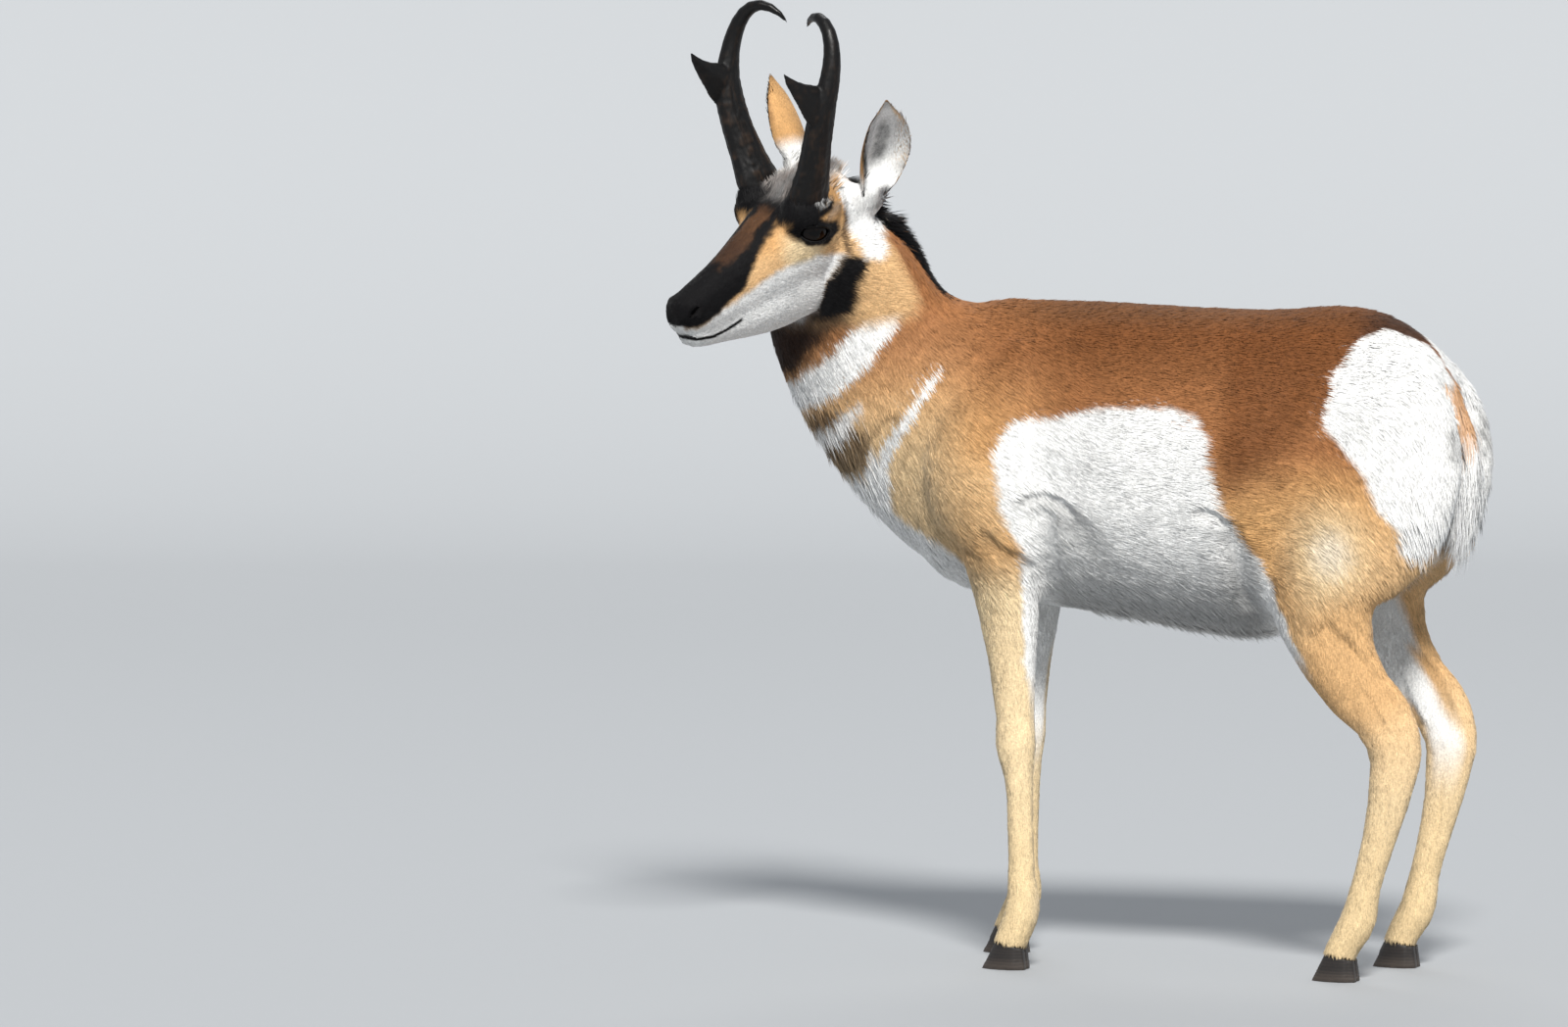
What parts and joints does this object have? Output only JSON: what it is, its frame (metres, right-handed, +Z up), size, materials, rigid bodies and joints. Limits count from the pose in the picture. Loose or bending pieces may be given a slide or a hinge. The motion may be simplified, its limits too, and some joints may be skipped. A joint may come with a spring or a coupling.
{
  "type": "pronghorn buck",
  "caption": "Life-size adult pronghorn buck, standing still with its head turned to its left: body, neck, head, horns, ears, legs, hooves and tail.",
  "frame": {"origin": "on the floor, at the middle of the underside of the whole animal's box", "axes": "+Z up; the body lies along X with the chest towards -X; the animal's left side, to which it turns its head, is -Y"},
  "size_m": [1.0444, 0.4644, 1.2988],
  "materials": {
    "head": "short dense coat",
    "neck": "dense coarse coat",
    "torso": "dense coarse coat",
    "tail": "long loose hair",
    "ear_left": "thin haired skin",
    "ear_right": "thin haired skin",
    "eye_left": "wet gloss",
    "eye_right": "wet gloss",
    "horn_left": "worn black horn sheath",
    "horn_right": "worn black horn sheath",
    "foreleg_left": "short flat coat",
    "foreleg_right": "short flat coat",
    "hindleg_left": "short flat coat",
    "hindleg_right": "short flat coat",
    "hoof_fore_left_inner": "dull black horn",
    "hoof_fore_left_outer": "dull black horn",
    "hoof_fore_right_inner": "dull black horn",
    "hoof_fore_right_outer": "dull black horn",
    "hoof_hind_left_inner": "dull black horn",
    "hoof_hind_left_outer": "dull black horn",
    "hoof_hind_right_inner": "dull black horn",
    "hoof_hind_right_outer": "dull black horn"
  },
  "bodies": {
    "root": {"head": "head", "neck": "neck", "torso": "torso", "tail": "tail", "ear_left": "ear_left", "ear_right": "ear_right", "eye_left": "eye_left", "eye_right": "eye_right", "horn_left": "horn_left", "horn_right": "horn_right", "foreleg_left": "foreleg_left", "foreleg_right": "foreleg_right", "hindleg_left": "hindleg_left", "hindleg_right": "hindleg_right", "hoof_fore_left_inner": "hoof_fore_left_inner", "hoof_fore_left_outer": "hoof_fore_left_outer", "hoof_fore_right_inner": "hoof_fore_right_inner", "hoof_fore_right_outer": "hoof_fore_right_outer", "hoof_hind_left_inner": "hoof_hind_left_inner", "hoof_hind_left_outer": "hoof_hind_left_outer", "hoof_hind_right_inner": "hoof_hind_right_inner", "hoof_hind_right_outer": "hoof_hind_right_outer"}
  },
  "joints": []
}
